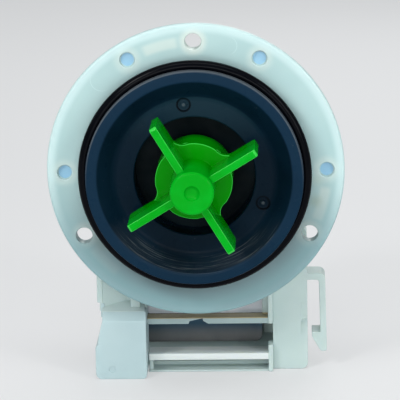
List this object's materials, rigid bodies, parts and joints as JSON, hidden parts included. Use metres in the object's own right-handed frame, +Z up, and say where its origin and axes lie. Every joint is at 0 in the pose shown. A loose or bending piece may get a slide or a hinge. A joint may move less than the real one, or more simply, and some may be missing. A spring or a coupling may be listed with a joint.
{
  "type": "washer drain pump",
  "caption": "Drain pump with a round screw flange, sealed dark dish, bladed impeller on a magnet rotor, and a cradle holding a U-shaped stator, terminal housing and cable clip.",
  "frame": {"origin": "on the pump axis, at the flange's front face, which is the centre of the screw circle", "axes": "+Z up from the base, the dish and impeller face -Y, the motor lies towards +Y"},
  "size_m": [0.096, 0.0952, 0.1195],
  "materials": {
    "flange_plastic": "milky translucent moulding",
    "seal_rubber": "smooth, slightly glossy",
    "dish_plastic": "dark slate moulding",
    "carrier_plastic": "black moulding",
    "bush_bronze": "sintered",
    "washer_plastic": "natural",
    "shaft_steel": "ground",
    "magnet_ferrite": "ground ferrite",
    "impeller_plastic": "satin green moulding",
    "core_steel": "stacked laminations",
    "bobbin_plastic": "grey moulding",
    "coil_copper": "enamelled wire",
    "coil_tape": "film tape",
    "frame_plastic": "off-white moulding",
    "housing_plastic": "off-white moulding",
    "terminal_tin": "tinned",
    "lead_plastic": "insulated wire"
  },
  "bodies": {
    "motor": {"mounting_flange": "flange_plastic", "seal_ring": "seal_rubber", "chamber_cup": "dish_plastic", "bearing_carrier": "carrier_plastic", "shaft_seal": "seal_rubber", "front_bearing": "bush_bronze", "rear_bearing": "bush_bronze", "rear_bearing_cushion": "seal_rubber", "stator_core": "core_steel", "bobbin_left": "bobbin_plastic", "bobbin_right": "bobbin_plastic", "winding_left": "coil_copper", "winding_right": "coil_copper", "coil_tape_left": "coil_tape", "coil_tape_right": "coil_tape", "thermal_cutout": "carrier_plastic", "motor_frame": "frame_plastic", "terminal_housing": "housing_plastic", "spade_terminals": "terminal_tin", "coil_leads": "lead_plastic"},
    "rotor": {"front_thrust_washer": "washer_plastic", "rotor_shaft": "shaft_steel", "rotor_sleeve": "carrier_plastic", "rotor_magnet": "magnet_ferrite", "rear_thrust_washer": "washer_plastic", "drive_dog": "washer_plastic", "dog_buffers": "seal_rubber"},
    "impeller": {"impeller": "impeller_plastic", "coupling_cover": "impeller_plastic"},
    "latch": {"latch_arm": "frame_plastic"}
  },
  "joints": [
    {"name": "rotor_spin", "type": "hinge", "parent": "motor", "child": "rotor", "pos_m": [0, 0, 0], "axis": [0, -1, 0], "continuous": true},
    {"name": "impeller_play", "type": "hinge", "parent": "rotor", "child": "impeller", "pos_m": [0, 0, 0], "axis": [0, -1, 0], "range_deg": [-97, 97]},
    {"name": "latch_flex", "type": "hinge", "parent": "motor", "child": "latch", "pos_m": [0.0405, 0.01875, -0.0429], "axis": [0, -1, 0], "range_deg": [-3, 9], "stiffness_Nm_per_rad": 1.5}
  ]
}
